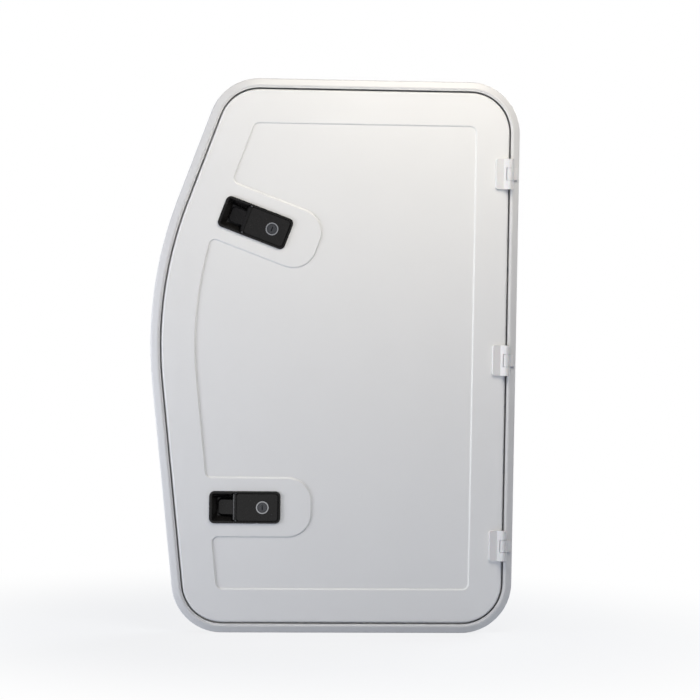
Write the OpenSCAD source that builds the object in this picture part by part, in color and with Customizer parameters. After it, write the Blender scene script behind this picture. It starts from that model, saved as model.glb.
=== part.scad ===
// Access door for a caravan or camper: a one-leaf hatch with a slanted, bulged
// left side, hung on three hinges at the right and shut by two paddle latches.
// Plans are drawn as seen from outside, in x and y, with z pointing outward from
// the wall. mounted() then stands them up in the wall.

/* [Door] */
// Width of the leaf, measured to the middle of the gap round it
door_w = 520; // [500:1:600]
// Height of the leaf, measured to the middle of the gap round it
door_h = 800; // [780:1:900]
// Radius of the four corners
corner_r = 61; // [58:1:70]
// Radius of the bulge in the left side
bulge_r = 590; // [560:1:640]
// Slant of the left side above the bulge, in degrees
upper_slant = 20.3; // [18:0.1:22]
// Slant of the left side below the bulge, in degrees
lower_slant = 6.2; // [5:0.1:7]
// Height of the widest point above mid height
bulge_rise = 23; // [0:1:40]
// Gap between the leaf and the frame
gap = 5; // [5:0.5:6]

/* [Frame] */
// Width of the flange that lies on the wall
flange_w = 12.5; // [12:0.5:20]
// Height of the flange and of the leaf above the wall
face_rise = 6; // [5:0.5:8]
// Depth that the frame reaches into the wall
reveal_depth = 32; // [32:1:45]
// Thickness of the reveal and of the stop
frame_wall = 2; // [1.6:0.1:3]
// Reach of the stop past the middle of the gap
stop_reach = 9; // [9:0.5:11]
// Diameter of the fixing screw holes in the reveal
fixing_d = 4.2; // [3.5:0.1:5]

/* [Leaf] */
// Thickness of the leaf
leaf_t = 24; // [22:1:26]
// Thickness of the outer skin
skin_t = 2; // [1.5:0.1:3]
// Distance from the gap to the sunken field
border_w = 50; // [40:1:60]
// Depth of the sunken field
field_sink = 2; // [1:0.5:4]
// Width of the slope down to the field
slope_w = 2.5; // [2:0.5:6]
// Radius of the ends of the lock pads
pad_r = 34; // [10:1:40]
// Pad above and below a lock
pad_margin = 19; // [12:1:24]
// Pad beyond a lock's inner end
pad_run = 45; // [20:1:50]

/* [Hinges] */
// Distance between hinges
hinge_pitch = 280; // [200:1:290]
// Drop of the middle hinge below mid height
hinge_drop = 1.5; // [0:0.5:10]
// Height of one hinge
hinge_h = 45.5; // [40:0.5:60]
// Reach of the hinge plate over the leaf
plate_reach = 22; // [18:0.5:30]
// Diameter of the hinge barrel
barrel_d = 10.4; // [9:0.1:11]
// Height of the middle knuckle
knuckle_h = 18; // [14:0.5:24]
// Diameter of the hinge pin
hinge_pin_d = 4; // [3:0.1:5]

/* [Locks] */
// Length of a lock
lock_l = 107; // [100:1:120]
// Width of a lock
lock_w = 48.5; // [44:0.5:56]
// Radius of the lock's corners
lock_r = 8; // [6:0.5:10]
// Distance from the gap to a lock's outer end
lock_setback = 52; // [52:1:56]
// Height of the upper lock's middle above mid height
upper_lock_rise = 200; // [190:1:215]
// Drop of the lower lock's middle below mid height
lower_lock_drop = 226; // [180:1:250]
// Distance from a lock's outer end to its pivot
pivot_run = 40; // [38:0.5:42]
// Diameter of the paddle's pin
paddle_pin_d = 3.5; // [3:0.1:4]
// Diameter of the key cylinder's ring
cylinder_d = 19; // [16:0.5:20]

/* [Hidden] */
$fn = 96;
half_gap = gap / 2;
eps = 0.01;
// Arcs stand a hair proud of the straight lines they meet, so that the two always cross
proud = 0.004;
// Straight runs of a sweep are a hair slimmer than its bends, and reach a little into them
slim = 0.999;
join = 0.05;

// The origin is on the back of the bottom flange, at the middle of its width.
mount_to_middle = door_h / 2 + half_gap + flange_w / 2;

// Headings of the door's sides, running round it anticlockwise
upper_heading = 270 - upper_slant;
lower_heading = 270 + lower_slant;
bulge_hub = [-door_w / 2 + bulge_r, bulge_rise];

function heading(a) = [cos(a), sin(a)];
// Where a line through p heading a crosses a line through q heading b
function meet(p, a, q, b) =
  p + heading(a) * cross(q - p, heading(b)) / cross(heading(a), heading(b));
// A point on the bulge at the angle a, moved in by inset
function bulge_point(a, inset = 0) = bulge_hub + (bulge_r - inset) * heading(a);
function corner(p, r) = [p.x, p.y, r];

// A route is a closed list of corners [x, y, radius], anticlockwise.
function wrap(route, i) = (i + len(route)) % len(route);
function spot(route, i) = let (c = route[wrap(route, i)]) [c.x, c.y];
function bend_r(route, i) = route[wrap(route, i)][2];
function course(route, i) = let (d = spot(route, i + 1) - spot(route, i)) atan2(d.y, d.x);
function turn(route, i) =
  let (t = course(route, i) - course(route, i - 1)) t > 180 ? t - 360 : t < -180 ? t + 360 : t;
function side(route, i) = sign(turn(route, i));
function hub(route, i) =
  let (back = bend_r(route, i) * tan(abs(turn(route, i)) / 2), a = course(route, i - 1))
  spot(route, i) - back * heading(a) + side(route, i) * bend_r(route, i) * heading(a + 90);
// The two ends of a corner's arc: early where it starts, late where it ends
function arc_r(route, i, inset) = bend_r(route, i) - side(route, i) * inset;
function early(route, i, inset = 0) =
  hub(route, i) + arc_r(route, i, inset) * heading(course(route, i - 1) - 90 * side(route, i));
function late(route, i, inset = 0) =
  hub(route, i) + arc_r(route, i, inset) * heading(course(route, i) - 90 * side(route, i));

// The outer part of the slice of circle at one corner of a route, spilling a little past
// both ends of its arc
module corner_slice(route, i, inset) {
  r = arc_r(route, i, inset) + proud;
  spill = 2 * side(route, i) * acos(1 - proud / r);
  a = course(route, i - 1) - 90 * side(route, i) - spill;
  b = course(route, i) - 90 * side(route, i) + spill;
  translate(hub(route, i)) intersection() {
    circle(r);
    polygon([0.8 * r * heading(a), 2 * r * heading(a), 2 * r * heading(b), 0.8 * r * heading(b)]);
  }
}

// The area inside a route, moved in by inset
module area(route, inset = 0) {
  n = len(route) - 1;
  difference() {
    union() {
      polygon([for (i = [0 : n]) each [early(route, i, inset), late(route, i, inset)]]);
      for (i = [0 : n]) if (turn(route, i) > 0) corner_slice(route, i, inset);
    }
    for (i = [0 : n]) if (turn(route, i) < 0) corner_slice(route, i, inset);
  }
}

// A profile run round a route: its x points out of the route and its y outward.
// The middle is a point inside the profile.
module sweep(route, middle) {
  for (i = [0 : len(route) - 1]) {
    if (turn(route, i) > 0)
      translate(hub(route, i)) rotate(course(route, i - 1) - 90)
        rotate_extrude(angle = turn(route, i)) translate([bend_r(route, i), 0]) children();
    else
      translate(hub(route, i)) rotate(course(route, i) + 90)
        rotate_extrude(angle = -turn(route, i)) translate([bend_r(route, i), 0]) mirror([1, 0]) children();
    translate(early(route, i + 1)) rotate([90, 0, course(route, i) - 90]) translate([0, 0, -join])
      linear_extrude(norm(early(route, i + 1) - late(route, i)) + 2 * join)
      translate(middle) scale(slim) translate(-middle) children();
  }
}

// A plate between two levels
module slab(low, high) {
  translate([0, 0, low]) linear_extrude(high - low) children();
}

// A square-edged ring between two levels and two insets
module ring(route, outer, inner, low, high) {
  slab(low, high) difference() {
    area(route, outer);
    area(route, inner);
  }
}

function box_route(l, w, r) =
  [[l / 2, w / 2, r], [-l / 2, w / 2, r], [-l / 2, -w / 2, r], [l / 2, -w / 2, r]];

door_route = [
  [door_w / 2, door_h / 2, corner_r],
  corner(meet([0, door_h / 2], 180, bulge_point(180 - upper_slant), upper_heading), corner_r),
  corner(meet(bulge_point(180 - upper_slant), upper_heading, bulge_point(180 + lower_slant), lower_heading), bulge_r),
  corner(meet(bulge_point(180 + lower_slant), lower_heading, [0, -door_h / 2], 0), corner_r),
  [door_w / 2, -door_h / 2, corner_r]
];

// Places of the locks: the upper one square to the slanted side, the lower one level
function lock_middle(y, a) =
  let (edge = meet([0, y], 180, bulge_point(180 + (a < 0 ? a : lower_slant)), a < 0 ? upper_heading : lower_heading))
  edge + (lock_setback + lock_l / 2) / cos(a) * [1, 0];
upper_angle = -upper_slant;
upper_middle = lock_middle(upper_lock_rise, upper_angle);
lower_middle = lock_middle(-lower_lock_drop, 0);

// The sunken field's outline, with the pads that carry the locks left standing
pad_half = lock_w / 2 + pad_margin;
pad_end = lock_l / 2 + pad_run;
nook_r = 10;
resume_angle = 167;
function upper_pad(along, across) =
  upper_middle + along * heading(upper_angle) + across * heading(upper_angle + 90);
inner_upper = bulge_point(180 - upper_slant, border_w);
inner_lower = bulge_point(180 + lower_slant, border_w);
inner_resume = bulge_point(resume_angle, border_w);
field_x = door_w / 2 - border_w;
field_y = door_h / 2 - border_w;
field_r = corner_r - border_w;
field_route = [
  [field_x, field_y, field_r],
  corner(meet([0, field_y], 180, inner_upper, upper_heading), field_r),
  corner(meet(inner_upper, upper_heading, upper_pad(0, pad_half), upper_angle), nook_r),
  corner(upper_pad(pad_end, pad_half), pad_r),
  corner(upper_pad(pad_end, -pad_half), pad_r),
  corner(meet(upper_pad(0, -pad_half), upper_angle, inner_resume, resume_angle + 90), nook_r),
  corner(meet(inner_resume, resume_angle + 90, inner_lower, lower_heading), bulge_r - border_w),
  corner(meet(inner_lower, lower_heading, lower_middle + [0, pad_half], 0), nook_r),
  corner(lower_middle + [pad_end, pad_half], pad_r),
  corner(lower_middle + [pad_end, -pad_half], pad_r),
  corner(meet(lower_middle + [0, -pad_half], 180, inner_lower, lower_heading), nook_r),
  corner(meet(inner_lower, lower_heading, [0, -field_y], 0), field_r),
  [field_x, -field_y, field_r]
];

// Levels through the door, above the wall's outer face
leaf_back = face_rise - leaf_t;
liner_t = 2;
lip_t = 4;
edge_t = 2;
stop_top = -reveal_depth + frame_wall;

// Stands a plan up in the wall, with its z pointing out of the wall
module mounted() {
  translate([0, 0, mount_to_middle]) rotate([90, 0, 0]) children();
}

module at_upper_lock() { mounted() translate(upper_middle) rotate(upper_angle) children(); }
module at_lower_lock() { mounted() translate(lower_middle) children(); }

// FRAME

seal_seat = 1;
seal_bottom = -18;
edge_r = 2;
flat_w = 1.5;
nose_r = 2.5;
nose_level = 1;

// The flange: rounded beside the gap, then a short flat, a straight fall and a round nose
module flange_profile() {
  edge_hub = [half_gap + edge_r, face_rise - edge_r];
  nose_hub = [half_gap + flange_w - nose_r, nose_level];
  drop = face_rise - nose_level;
  run = flange_w - nose_r - edge_r - flat_w;
  fall = acos(nose_r / norm([drop, run])) - atan2(run, drop);
  polygon(concat(
    [[half_gap, 0]],
    [for (k = [0 : 4]) edge_hub + edge_r * heading(180 - 90 * k / 4)],
    [[edge_hub.x + flat_w, face_rise]],
    [for (k = [0 : 4]) nose_hub + nose_r * heading((90 - fall) * (1 - k / 4))],
    [[half_gap + flange_w, 0]]
  ));
}

fixing_level = -24;
fixing_r = fixing_d / 2;
fixing_y = [-300, -140, 140, 300];
fixing_x = [-60, 140];
hole_l = 20;

// Screw holes: four in the right side, two in the top, two in the bottom
module fixing_holes() {
  for (y = fixing_y)
    translate([door_w / 2 - hole_l / 2, y, fixing_level]) rotate([0, 90, 0]) cylinder(h = hole_l, r = fixing_r);
  for (x = fixing_x, s = [-1, 1])
    translate([x, s * door_h / 2 + hole_l / 2, fixing_level]) rotate([90, 0, 0]) cylinder(h = hole_l, r = fixing_r);
}

// One bent extrusion: the flange, the reveal behind it and the stop
module frame() {
  leg = half_gap + seal_seat;
  color("whitesmoke") mounted() difference() {
    union() {
      sweep(door_route, [half_gap + flange_w / 2, face_rise / 2]) flange_profile();
      ring(door_route, -leg - frame_wall, -leg, -reveal_depth, face_rise / 2);
      ring(door_route, -leg - frame_wall / 2, stop_reach, -reveal_depth, stop_top);
    }
    fixing_holes();
  }
}

module reveal_seal() {
  color("lightgray") mounted() ring(door_route, -half_gap - seal_seat, -half_gap, seal_bottom, 0);
}

bulb_r = 3.5;
bulb_u = -4.5;
seal_foot = 8;
seal_foot_t = 1;

// A soft bulb on a flat foot, lying on the stop
module stop_seal() {
  bulb = [for (a = [-60 : 20 : 240]) [bulb_u, stop_top + bulb_r] + bulb_r * heading(a)];
  foot = [
    [bulb_u - seal_foot / 2, stop_top + seal_foot_t], [bulb_u - seal_foot / 2, stop_top],
    [bulb_u + seal_foot / 2, stop_top], [bulb_u + seal_foot / 2, stop_top + seal_foot_t]
  ];
  color("lightgray") mounted() sweep(door_route, [bulb_u, stop_top + bulb_r]) polygon(concat(bulb, foot));
}

// LEAF

leaf_inset = half_gap;
core_inset = leaf_inset + edge_t;
lip_bevel = 0.8;
lock_wall = 1.5;
rim = 3;
body_l = lock_l - 2 * rim + 2 * lock_wall;
body_w = lock_w - 2 * rim + 2 * lock_wall;
cutout_play = 0.25;

module lock_cutouts(low, high) {
  for (place = [[upper_middle, upper_angle], [lower_middle, 0]])
    translate(place[0]) rotate(place[1]) slab(low, high)
      area(box_route(body_l + 2 * cutout_play, body_w + 2 * cutout_play, lock_r - rim + lock_wall));
}

// The lip and the slope reach this far into the flats of the skin, and are tucked
// a hair inside both faces of them.
overlap = 1;
tuck = 0.02;
skin_top = face_rise - tuck;
skin_under = face_rise - skin_t + tuck;

// The turned-down edge of the skin, with a strip of the flat border
module lip_profile() {
  polygon([
    [-core_inset, face_rise - lip_t], [-leaf_inset, face_rise - lip_t],
    [-leaf_inset, skin_top - lip_bevel], [-leaf_inset - lip_bevel, skin_top],
    [-core_inset - overlap, skin_top], [-core_inset - overlap, skin_under], [-core_inset, skin_under]
  ]);
}

slope_steps = 4;
// The slope falls in a soft S from 0 at the border to the field's sink
function slope_fall(k) = field_sink * (1 - cos(180 * k / slope_steps)) / 2;

// The slope, with a strip of the flats above and below it
module slope_profile() {
  polygon(concat(
    [[overlap, skin_top]],
    [for (k = [0 : slope_steps]) [-slope_w * k / slope_steps, skin_top - slope_fall(k)]],
    [[-slope_w - overlap, skin_top - field_sink], [-slope_w - overlap, skin_under - field_sink]],
    [for (k = [slope_steps : -1 : 0]) [-slope_w * k / slope_steps, skin_under - slope_fall(k)]],
    [[overlap, skin_under]]
  ));
}

// The pressed skin: a border with a bevelled lip, a slope and the sunken field
module leaf_skin() {
  color("whitesmoke") mounted() difference() {
    union() {
      slab(face_rise - skin_t, face_rise) difference() {
        area(door_route, core_inset + overlap / 2);
        area(field_route, -overlap / 2);
      }
      sweep(door_route, [-core_inset, face_rise - 1]) lip_profile();
      sweep(field_route, [-slope_w / 2, face_rise - (field_sink + skin_t) / 2]) slope_profile();
      slab(face_rise - field_sink - skin_t, face_rise - field_sink)
        area(field_route, slope_w + overlap / 2);
    }
    lock_cutouts(leaf_back - eps, face_rise + eps);
  }
}

module leaf_core() {
  under_field = face_rise - field_sink - skin_t;
  color("lightyellow") mounted() difference() {
    union() {
      slab(leaf_back + liner_t, under_field) area(door_route, core_inset);
      slab(under_field, face_rise - skin_t) difference() {
        area(door_route, core_inset);
        area(field_route);
      }
    }
    lock_cutouts(leaf_back - eps, face_rise + eps);
  }
}

module leaf_liner() {
  color("white") mounted() difference() {
    slab(leaf_back, leaf_back + liner_t) area(door_route, core_inset);
    lock_cutouts(leaf_back - eps, face_rise + eps);
  }
}

module leaf_edge() {
  color("whitesmoke") mounted() ring(door_route, leaf_inset, core_inset, leaf_back, face_rise - lip_t);
}

// HINGES

barrel_r = barrel_d / 2;
barrel_level = face_rise + 6.5;
knuckle_play = 0.5;
barrel_play = 0.8;
pin_play = 0.05;
plate_t = 4;
plate_r = 5;
foot_t = 2.6;

module at_hinge(row) {
  mounted() translate([door_w / 2, row * hinge_pitch - hinge_drop, 0]) children();
}

// A section in x and outward height, made h tall
module stand_up(h) {
  translate([0, h / 2, 0]) rotate([90, 0, 0]) linear_extrude(h) children();
}

module round_bar(h, r) { stand_up(h) translate([0, barrel_level]) circle(r); }

module hinge_leaf(row) {
  plate_top = face_rise + plate_t;
  color("whitesmoke") at_hinge(row) difference() {
    union() {
      round_bar(hinge_h, barrel_r);
      intersection() {
        stand_up(hinge_h) polygon([
          [-plate_reach, face_rise], [-plate_reach, plate_top - 1.2], [1.6 - plate_reach, plate_top],
          [-barrel_r - 4, plate_top], [-barrel_r + 1, barrel_level + 2.6], [0, barrel_level],
          [-1, barrel_level - 3], [-barrel_r, plate_top - 1.2], [-barrel_r, face_rise]
        ]);
        slab(0, barrel_level + barrel_r) area(box_route(2 * plate_reach, hinge_h, plate_r));
      }
    }
    round_bar(knuckle_h + 2 * knuckle_play, barrel_r + barrel_play);
    round_bar(hinge_h + 2, hinge_pin_d / 2 + pin_play);
  }
}

// The middle knuckle and the foot that holds it on the flange
module hinge_bracket(row) {
  foot_top = face_rise + foot_t;
  foot_end = flange_w - 0.6;
  color("whitesmoke") at_hinge(row) difference() {
    union() {
      round_bar(knuckle_h, barrel_r);
      stand_up(knuckle_h) polygon([
        [half_gap + 0.5, 0], [half_gap + 0.5, face_rise + 1], [0, barrel_level - 3],
        [3, barrel_level], [barrel_r + 0.6, foot_top + 0.8],
        [foot_end - 0.8, foot_top - 1], [foot_end, foot_top - 3], [foot_end, 0]
      ]);
    }
    stand_up(knuckle_h + 2) flange_profile();
    round_bar(knuckle_h + 2, hinge_pin_d / 2);
  }
}

module hinge_pin(row) {
  color("silver") at_hinge(row) round_bar(hinge_h - 1.5, hinge_pin_d / 2);
}

// LOCKS, drawn with x along the lock and its outer end at the left

bezel_rise = 2.5;
bezel_bevel = 1;
pocket_l = lock_l - 2 * rim;
pocket_w = lock_w - 2 * rim;
pocket_floor = -20;
back_t = 2;
pivot_x = pivot_run - lock_l / 2;
pivot_level = 0;
hub_r = 5.2;
arm_hub_r = 3.6;
front = face_rise + bezel_rise;
tongue_w = 21.5;
tongue_l = 25;
tongue_gap = 2.7;
tongue_r = 5;
well_play = 1.5;
arm_w = 8;
arm_t = 3;
arm_level = -24.5;
arm_reach = 75;
arm_play = 0.2;
side_play = 1;

module lock_section(w) {
  translate([pivot_x, w / 2, pivot_level]) rotate([90, 0, 0]) linear_extrude(w) children();
}

// The finger scoop: four slopes that lead down to the tongue
module scoop_cut() {
  left = -pocket_l / 2 - pivot_x;
  half = tongue_w / 2 + tongue_gap;
  floor_level = -4;
  intersection() {
    lock_section(pocket_w + 4) polygon([
      [left, front + eps], [-tongue_l - well_play, floor_level], [0, floor_level], [0, front + eps]
    ]);
    translate([-pocket_l / 2, 0, 0]) rotate([90, 0, 90]) linear_extrude(pocket_l) polygon([
      [-pocket_w / 2, front + eps], [-half, floor_level], [half, floor_level], [pocket_w / 2, front + eps]
    ]);
  }
}

module lock_housing() {
  bite = 0.5;
  shelf_low = -8;
  shelf_end = pivot_x - hub_r - side_play;
  color("#26262a") {
    difference() {
      union() {
        slab(face_rise, front - bezel_bevel) area(box_route(lock_l, lock_w, lock_r));
        slab(front - bezel_bevel, front) area(box_route(lock_l, lock_w, lock_r), bezel_bevel / 2);
        slab(pocket_floor - back_t, face_rise) area(box_route(body_l, body_w, lock_r - rim + lock_wall));
      }
      slab(pocket_floor, front + eps) area(box_route(pocket_l, pocket_w, lock_r - rim));
      lock_section(lock_w) circle(paddle_pin_d / 2);
      translate([pivot_x - 6, -arm_w / 2 - 2, pocket_floor - back_t - eps]) cube([26, arm_w + 4, back_t + 2 * eps]);
    }
    difference() {
      slab(shelf_low, front - bezel_bevel)
        area(box_route(pocket_l + 2 * bite, pocket_w + 2 * bite, lock_r - rim + bite));
      translate([shelf_end, -lock_w / 2, shelf_low - 1]) cube([lock_l, lock_w, front - shelf_low + 1]);
      scoop_cut();
      translate([pivot_x, 0, 0]) slab(shelf_low - 1, front + 1)
        area(box_route(2 * (tongue_l + well_play), tongue_w + 2 * tongue_gap, tongue_r + well_play));
    }
  }
}

// The frame that pulls the housing against the leaf from inside
module lock_clamp() {
  clamp_w = 6;
  color("#26262a") slab(leaf_back - 2.5, leaf_back) difference() {
    area(box_route(body_l + 2 * clamp_w, body_w + 2 * clamp_w, lock_r));
    area(box_route(body_l, body_w, lock_r - rim + lock_wall));
  }
}

// The latch arm's shape, w wide and grown by play
module arm_solid(w, play = 0) {
  lock_section(w) circle(arm_hub_r + play);
  lock_section(w) polygon([
    [arm_hub_r - 0.5 + play, 0], [arm_hub_r - 0.5 + play, arm_level + 0.5], [0, arm_level - arm_t - play],
    [-arm_reach, arm_level - arm_t - play], [-arm_reach, arm_level - 0.5],
    [5 - arm_reach, arm_level + play], [-arm_hub_r, arm_level + play],
    [0.5 - arm_hub_r - play, arm_level + 2], [0.5 - arm_hub_r - play, 0]
  ]);
}

module latch_arm() {
  color("silver") difference() {
    arm_solid(arm_w);
    lock_section(arm_w + 2) circle(paddle_pin_d / 2 + pin_play);
  }
}

key_x = 26;
ring_r = cylinder_d / 2;
barrel_bore_r = 8;
plug_r = 6;
cylinder_low = -14;
slab_low = 3.5;
slab_top = front + 0.5;

// The paddle: the slab, the hub on the pin, the tongue and the cylinder's boss
module paddle() {
  left = pivot_x + side_play;
  right = pocket_l / 2 - 1.5;
  half = pocket_w / 2 - side_play;
  shell = 2.5;
  color("#26262a") difference() {
    union() {
      difference() {
        union() {
          translate([(left + right) / 2, 0, 0]) slab(slab_low, slab_top - 0.8)
            area(box_route(right - left, 2 * half, 4));
          translate([(left + right) / 2, 0, 0]) slab(slab_top - 0.8, slab_top)
            area(box_route(right - left, 2 * half, 4), 0.6);
        }
        translate([(left + right) / 2 + 2, 0, 0]) slab(slab_low - 1, slab_top - shell)
          area(box_route(right - left - 4 - 2 * shell, 2 * (half - shell), 2));
      }
      lock_section(2 * half - 1) circle(hub_r);
      lock_section(2 * half - 1) square([5, slab_low + 1]);
      intersection() {
        lock_section(tongue_w) polygon([[0, 4], [-tongue_l, -1.5], [-tongue_l, -4.5], [0, -4]]);
        translate([pivot_x, 0, 0]) slab(-hub_r, hub_r) area(box_route(2 * tongue_l, tongue_w, tongue_r));
      }
      translate([key_x, 0, 0]) slab(cylinder_low, slab_top - 1) circle(barrel_bore_r + 2.5);
    }
    arm_solid(arm_w + 2 * arm_play, arm_play);
    lock_section(lock_w) circle(paddle_pin_d / 2 + pin_play);
    translate([key_x, 0, 0]) slab(cylinder_low - 1, slab_top + 1) circle(barrel_bore_r);
  }
}

module cylinder_ring() {
  color("silver") translate([key_x, 0, 0]) difference() {
    union() {
      slab(cylinder_low, slab_top) circle(barrel_bore_r);
      slab(slab_top, slab_top + 1) circle(ring_r);
    }
    slab(cylinder_low - 1, slab_top + 2) circle(plug_r + pin_play);
  }
}

module key_plug() {
  keyway_l = 7;
  keyway_w = 1.6;
  tail_l = 15;
  color("gainsboro") translate([key_x, 0, 0]) {
    difference() {
      slab(cylinder_low - 1, slab_top + 0.8) circle(plug_r);
      translate([-keyway_w / 2, -keyway_l / 2, -2]) cube([keyway_w, keyway_l, 20]);
    }
    translate([-tail_l / 2, -3, cylinder_low - 3]) cube([tail_l, 6, 2]);
  }
}

module paddle_pin() {
  color("silver") lock_section(body_w - 0.4) circle(paddle_pin_d / 2);
}

frame();
reveal_seal();
stop_seal();
hinge_bracket(1);  // top_hinge_bracket
hinge_bracket(0);  // middle_hinge_bracket
hinge_bracket(-1);  // bottom_hinge_bracket
hinge_pin(1);  // top_hinge_pin
hinge_pin(0);  // middle_hinge_pin
hinge_pin(-1);  // bottom_hinge_pin
leaf_skin();
leaf_core();
leaf_liner();
leaf_edge();
hinge_leaf(1);  // top_hinge_leaf
hinge_leaf(0);  // middle_hinge_leaf
hinge_leaf(-1);  // bottom_hinge_leaf
at_upper_lock() lock_housing();  // upper_lock_housing
at_upper_lock() lock_clamp();  // upper_lock_clamp
at_upper_lock() paddle_pin();  // upper_paddle_pin
at_upper_lock() paddle();  // upper_paddle
at_upper_lock() latch_arm();  // upper_latch_arm
at_upper_lock() cylinder_ring();  // upper_cylinder
at_upper_lock() key_plug();  // upper_key_plug
at_lower_lock() lock_housing();  // lower_lock_housing
at_lower_lock() lock_clamp();  // lower_lock_clamp
at_lower_lock() paddle_pin();  // lower_paddle_pin
at_lower_lock() paddle();  // lower_paddle
at_lower_lock() latch_arm();  // lower_latch_arm
at_lower_lock() cylinder_ring();  // lower_cylinder
at_lower_lock() key_plug();  // lower_key_plug
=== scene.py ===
"""Looks for the access door: its finishes, gap lips, screws, stage and camera.

Lengths are in metres in the frame's own axes: +Z is up, and the outside of the door faces -Y.
"""

import math

import bpy
from bpy.props import FloatProperty, FloatVectorProperty, PointerProperty
from mathutils import Matrix, Vector


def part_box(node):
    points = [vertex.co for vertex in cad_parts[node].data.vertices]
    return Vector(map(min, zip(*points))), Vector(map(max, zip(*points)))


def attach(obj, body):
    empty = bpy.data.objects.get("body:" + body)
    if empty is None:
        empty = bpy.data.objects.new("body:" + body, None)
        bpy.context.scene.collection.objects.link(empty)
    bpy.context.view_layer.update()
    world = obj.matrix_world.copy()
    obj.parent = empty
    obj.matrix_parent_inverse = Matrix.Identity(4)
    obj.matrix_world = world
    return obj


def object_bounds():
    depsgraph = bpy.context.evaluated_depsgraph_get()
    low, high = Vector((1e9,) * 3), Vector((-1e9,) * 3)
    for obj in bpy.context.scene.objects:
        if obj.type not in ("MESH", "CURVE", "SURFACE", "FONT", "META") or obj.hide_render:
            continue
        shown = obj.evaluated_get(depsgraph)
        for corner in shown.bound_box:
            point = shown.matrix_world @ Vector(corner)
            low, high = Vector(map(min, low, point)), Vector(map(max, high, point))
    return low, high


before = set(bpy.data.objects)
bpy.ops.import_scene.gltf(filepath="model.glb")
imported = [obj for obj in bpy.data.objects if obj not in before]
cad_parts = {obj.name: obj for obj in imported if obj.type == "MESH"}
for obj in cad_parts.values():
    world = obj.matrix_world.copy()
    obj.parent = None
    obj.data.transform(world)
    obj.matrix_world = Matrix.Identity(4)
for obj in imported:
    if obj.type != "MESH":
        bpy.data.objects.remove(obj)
CAD_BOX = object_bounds()

bl_info = {
    "name": "Access Door Looks",
    "version": (1, 0, 0),
    "blender": (4, 5, 0),
    "location": "View3D > Sidebar > Access Door",
    "description": "Finishes, gap lips, screws, stage and camera for a caravan access door",
    "category": "Object",
}

MM = 0.001
# The upper lock lies square to the slanted side of the door.
UPPER_SLANT = math.radians(20.3)


# Helpers


def linear(code):
    """An sRGB hex code as linear red, green and blue."""
    values = [int(code[i : i + 2], 16) / 255 for i in (0, 2, 4)]
    return tuple(v / 12.92 if v <= 0.04045 else ((v + 0.055) / 1.055) ** 2.4 for v in values)


def colour(code, name, about):
    """A colour property with its default given as sRGB hex."""
    return FloatVectorProperty(
        name=name, description=about, subtype="COLOR", size=3, min=0, max=1, default=linear(code)
    )


def length(value, name, about):
    """A length property in metres."""
    return FloatProperty(name=name, description=about, unit="LENGTH", precision=5, default=value)


def watts(value, name, about):
    """A lamp's power as a property in watts."""
    return FloatProperty(name=name, description=about, subtype="POWER", default=value)


def add(tree, kind, inputs=None, **settings):
    """Add a node to a tree. Inputs are plain values, or sockets to link from."""
    made = tree.nodes.new(kind)
    for key, value in settings.items():
        setattr(made, key, value)
    for key, value in (inputs or {}).items():
        if isinstance(value, bpy.types.NodeSocket):
            tree.links.new(value, made.inputs[key])
        else:
            made.inputs[key].default_value = value
    return made


def per_metre(size_mm):
    """The scale at which a noise pattern's cells are this many millimetres across."""
    return 1000 / size_mm


def new_finish(name, base, roughness, **sockets):
    """A material with its uniform values on the shader, and object coordinates to pattern by."""
    made = bpy.data.materials.new(name)
    made.use_nodes = True
    tree = made.node_tree
    shader = tree.nodes["Principled BSDF"]
    shader.inputs["Base Color"].default_value = (*base, 1)
    shader.inputs["Roughness"].default_value = roughness
    for key, value in sockets.items():
        shader.inputs[key.replace("_", " ")].default_value = value
    place = add(tree, "ShaderNodeTexCoord").outputs["Object"]
    return made, tree, shader, place


def tint(base, factor):
    """A colour made darker or lighter by a factor, as red, green, blue and alpha."""
    return (*(min(1.0, c * factor) for c in base), 1)


def dress(names, material):
    """Give CAD nodes a material through their slots."""
    for name in names:
        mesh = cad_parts[name].data
        if not mesh.materials:
            mesh.materials.append(material)
        for i in range(len(mesh.materials)):
            mesh.materials[i] = material


def both(stem):
    """The names of a piece on the upper and on the lower lock."""
    return ["upper_" + stem, "lower_" + stem]


def all_hinges(stem):
    """The names of a piece on the three hinges."""
    return [row + "_hinge_" + stem for row in ("top", "middle", "bottom")]


# Modelling helpers

# Edges sharper than this stay sharp.
SMOOTH_ANGLE = math.radians(32)
# A face whose normal has more than this along an axis faces that way.
FACING = 0.9


def only(*objects):
    """Select only these, the first active."""
    bpy.ops.object.select_all(action="DESELECT")
    for each in objects:
        each.select_set(True)
    bpy.context.view_layer.objects.active = objects[0]


def pick_faces(piece, wanted):
    """Select, in edit mode, only the faces that wanted(centre, normal) accepts."""
    mesh = piece.data
    bpy.ops.object.mode_set(mode="EDIT")
    bpy.ops.mesh.select_mode(type="FACE")
    bpy.ops.mesh.select_all(action="DESELECT")
    bpy.ops.object.mode_set(mode="OBJECT")
    for face in mesh.polygons:
        face.select = bool(wanted(face.center, face.normal))
    bpy.ops.object.mode_set(mode="EDIT")


def grow(depth, ratio):
    """Extrude the picked faces down by depth, then scale them about their middle."""
    bpy.ops.mesh.extrude_region_move(TRANSFORM_OT_translate={"value": (0, 0, -depth)})
    if ratio != 1:
        bpy.ops.transform.resize(value=(ratio, ratio, 1))


def settle(piece, material, body):
    """Finish a piece: place into the mesh, sharp and smooth edges, material, body and slot."""
    only(piece)
    bpy.ops.object.transform_apply(location=True, rotation=True, scale=True)
    bpy.ops.object.shade_smooth_by_angle(angle=SMOOTH_ANGLE)
    piece.data.materials.clear()
    piece.data.materials.append(material)
    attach(piece, body)


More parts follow.
